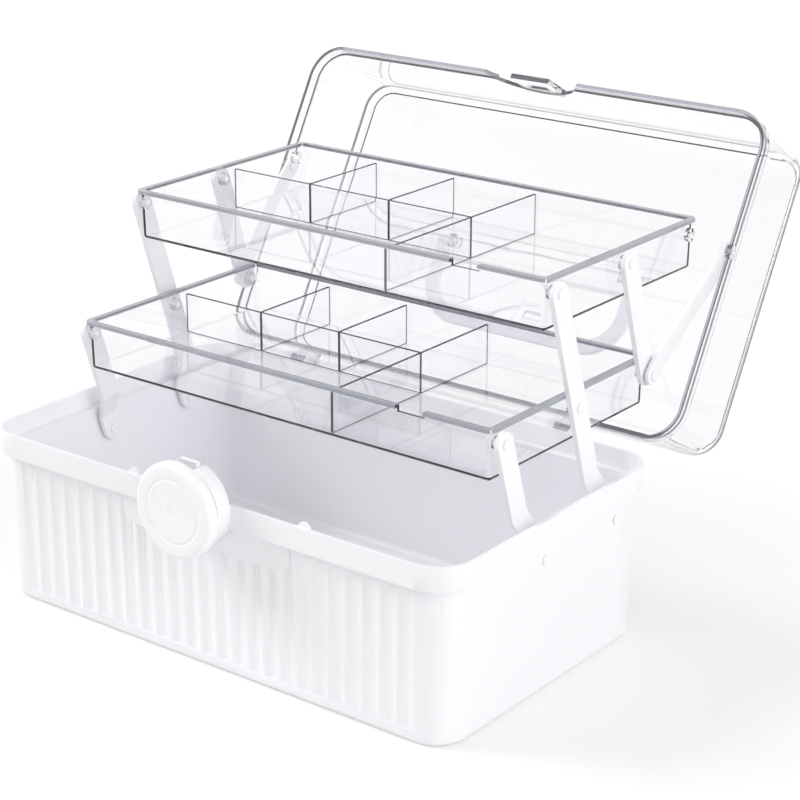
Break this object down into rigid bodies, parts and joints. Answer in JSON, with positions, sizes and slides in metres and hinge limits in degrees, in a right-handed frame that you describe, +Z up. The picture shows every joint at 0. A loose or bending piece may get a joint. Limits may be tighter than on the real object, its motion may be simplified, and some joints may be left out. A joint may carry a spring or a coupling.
{
  "type": "sewing box with handle",
  "caption": "Lidded sewing box with a fluted tub, a clear lid with a bail handle, cantilever trays raised by linked arms and a round press latch.",
  "frame": {"origin": "middle of the tub's underside", "axes": "+X to the right along the box, +Y to the back towards the hinges, +Z up; the lid stands open at rest"},
  "size_m": [0.322, 0.3694, 0.27],
  "materials": {
    "white_body": "satin moulded polypropylene",
    "clear_shell": "clear moulded polystyrene",
    "latch_white": "gloss moulded plastic",
    "rivet_white": "satin moulded plastic",
    "steel_wire": "drawn wire"
  },
  "bodies": {
    "base": {"base_tub": "white_body", "latch_housing": "latch_white", "latch_hook_pin": "steel_wire", "latch_springs": "steel_wire", "base_front_pins": "rivet_white", "base_rear_pins": "rivet_white", "hinge_pins": "steel_wire"},
    "lid": {"lid_shell": "clear_shell", "lid_link_pins": "rivet_white", "handle_pins": "rivet_white"},
    "handle": {"handle": "white_body"},
    "main_arms": {"main_arm_left": "white_body", "main_arm_right": "white_body"},
    "front_arms": {"front_arm_left": "white_body", "front_arm_right": "white_body"},
    "lower_tray": {"lower_tray": "clear_shell", "lower_full_divider": "clear_shell", "lower_long_divider": "clear_shell", "lower_short_dividers": "clear_shell", "lower_front_pins": "rivet_white", "lower_mid_pins": "rivet_white", "lower_rear_pins": "rivet_white"},
    "upper_tray": {"upper_tray": "clear_shell", "upper_full_divider": "clear_shell", "upper_long_divider": "clear_shell", "upper_short_dividers": "clear_shell", "upper_front_pins": "rivet_white", "upper_mid_pins": "rivet_white"},
    "rear_arms": {"rear_arm_left": "white_body", "rear_arm_right": "white_body"},
    "lid_links": {"lid_link_left": "white_body", "lid_link_right": "white_body", "link_tray_studs": "rivet_white"},
    "latch_button": {"latch_button": "latch_white"},
    "latch_hook": {"latch_hook": "latch_white"}
  },
  "joints": [
    {"name": "lid_hinge", "type": "hinge", "parent": "base", "child": "lid", "pos_m": [0, 0.1025, 0.0985], "axis": [1, 0, 0], "range_deg": [0, 119.3]},
    {"name": "main_arm_swing", "type": "hinge", "parent": "base", "child": "main_arms", "pos_m": [0, 0.061, 0.0755], "axis": [1, 0, 0], "range_deg": [-0.2, 44.2]},
    {"name": "front_arm_swing", "type": "hinge", "parent": "base", "child": "front_arms", "pos_m": [0, -0.0055, 0.0755], "axis": [1, 0, 0], "range_deg": [-0.2, 44.2]},
    {"name": "lower_tray_level", "type": "hinge", "parent": "main_arms", "child": "lower_tray", "pos_m": [0, 0.03995, 0.14226], "axis": [1, 0, 0], "range_deg": [-44.2, 0.2]},
    {"name": "upper_tray_level", "type": "hinge", "parent": "main_arms", "child": "upper_tray", "pos_m": [0, 0.0189, 0.20902], "axis": [1, 0, 0], "range_deg": [-44.2, 0.2]},
    {"name": "rear_arm_swing", "type": "hinge", "parent": "lower_tray", "child": "rear_arms", "pos_m": [0, 0.10645, 0.14226], "axis": [1, 0, 0], "range_deg": [-0.2, 44.2]},
    {"name": "lid_link_swing", "type": "hinge", "parent": "lid", "child": "lid_links", "pos_m": [0, 0.16632, 0.19914], "axis": [1, 0, 0], "range_deg": [-0.2, 20.14]},
    {"name": "handle_swing", "type": "hinge", "parent": "lid", "child": "handle", "pos_m": [0, 0.21467, 0.15309], "axis": [1, 0, 0], "range_deg": [0, 180]},
    {"name": "button_press", "type": "slide", "parent": "base", "child": "latch_button", "axis": [0, 1, 0], "range_m": [0, 0.003], "stiffness_N_per_m": 600, "springref_m": -0.003, "deforming": ["latch_springs"]},
    {"name": "hook_rock", "type": "hinge", "parent": "base", "child": "latch_hook", "pos_m": [0, -0.1003, 0.101], "axis": [1, 0, 0], "range_deg": [-0.3, 10.9]}
  ],
  "couplings": [
    {"joint": "main_arm_swing", "follows": "lid_hinge", "ratio": 0.36882},
    {"joint": "front_arm_swing", "follows": "lid_hinge", "ratio": 0.36882},
    {"joint": "lower_tray_level", "follows": "lid_hinge", "ratio": -0.36882},
    {"joint": "upper_tray_level", "follows": "lid_hinge", "ratio": -0.36882},
    {"joint": "rear_arm_swing", "follows": "lid_hinge", "ratio": 0.36882},
    {"joint": "lid_link_swing", "follows": "lid_hinge", "ratio": 0.16715},
    {"joint": "hook_rock", "follows": "button_press", "rad_per_m": 58.824}
  ]
}
